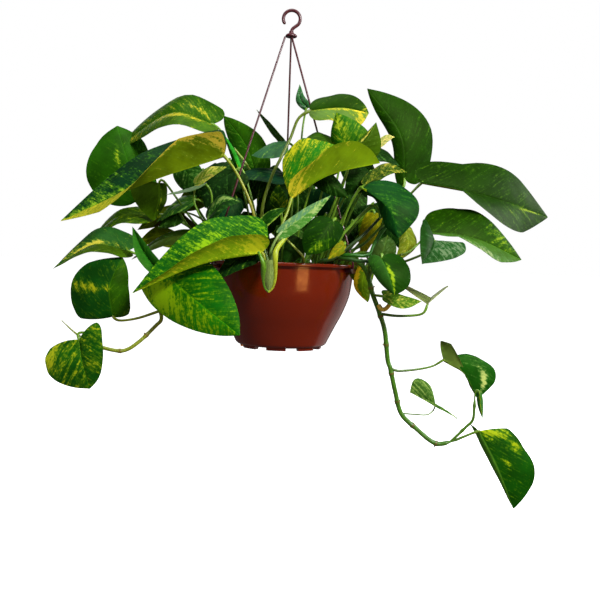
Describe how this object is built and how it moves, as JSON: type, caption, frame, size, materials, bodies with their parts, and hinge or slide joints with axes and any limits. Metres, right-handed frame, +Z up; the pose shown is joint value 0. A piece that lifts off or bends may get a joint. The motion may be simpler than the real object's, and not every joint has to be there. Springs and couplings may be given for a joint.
{
  "type": "potted pothos plant",
  "caption": "Variegated pothos with heart-shaped leaves, arching stalks and trailing vines, in a round plastic hanging bowl with a strand hanger and hook.",
  "frame": {"origin": "the inner top of the hanger's hook, where it rests on the rod or ceiling hook that carries it; the centre of the bowl's rim is 0.333 m straight below", "axes": "+Z up; +X to the right and +Y to the back, as seen from the side that the plant's face turns to"},
  "size_m": [0.656, 0.2662, 0.6442],
  "materials": {
    "leaf_green": "satin",
    "stem_green": "satin",
    "bowl_plastic": "gloss",
    "hanger_plastic": "satin",
    "potting_soil": "matte"
  },
  "bodies": {
    "root": {"bowl": "bowl_plastic", "hanger_hook": "hanger_plastic", "leaf_back_dark": "leaf_green", "leaf_back_narrow": "leaf_green", "leaf_back_upright": "leaf_green", "leaf_centre_blue": "leaf_green", "leaf_centre_gold": "leaf_green", "leaf_centre_heart": "leaf_green", "leaf_centre_small": "leaf_green", "leaf_front_lime": "leaf_green", "leaf_front_long": "leaf_green", "leaf_front_shade": "leaf_green", "leaf_left_back": "leaf_green", "leaf_left_brown": "leaf_green", "leaf_left_dark": "leaf_green", "leaf_left_furled": "leaf_green", "leaf_left_long": "leaf_green", "leaf_left_low": "leaf_green", "leaf_left_marbled": "leaf_green", "leaf_left_mottled": "leaf_green", "leaf_left_shade": "leaf_green", "leaf_left_top": "leaf_green", "leaf_left_under": "leaf_green", "leaf_low_left_end": "leaf_green", "leaf_low_left_upper": "leaf_green", "leaf_right_blue": "leaf_green", "leaf_right_gold": "leaf_green", "leaf_right_heart": "leaf_green", "leaf_right_inner": "leaf_green", "leaf_right_lime": "leaf_green", "leaf_right_long": "leaf_green", "leaf_right_low": "leaf_green", "leaf_right_olive": "leaf_green", "leaf_right_shade": "leaf_green", "leaf_right_small": "leaf_green", "leaf_right_striped": "leaf_green", "leaf_right_top": "leaf_green", "leaf_right_yellow": "leaf_green", "leaf_shoot_small": "leaf_green", "leaf_top_centre": "leaf_green", "leaf_top_mottled": "leaf_green", "leaf_top_olive": "leaf_green", "leaf_top_small": "leaf_green", "leaf_top_under": "leaf_green", "leaf_vine_end": "leaf_green", "leaf_vine_middle": "leaf_green", "leaf_vine_new": "leaf_green", "leaf_vine_small": "leaf_green", "sheath_front": "stem_green", "shoot_left": "stem_green", "shoot_right": "stem_green", "soil": "potting_soil", "stem_front": "stem_green", "strand_back": "hanger_plastic", "strand_front_left": "hanger_plastic", "strand_front_right": "hanger_plastic", "vine_left": "stem_green", "vine_right": "stem_green"}
  },
  "joints": []
}
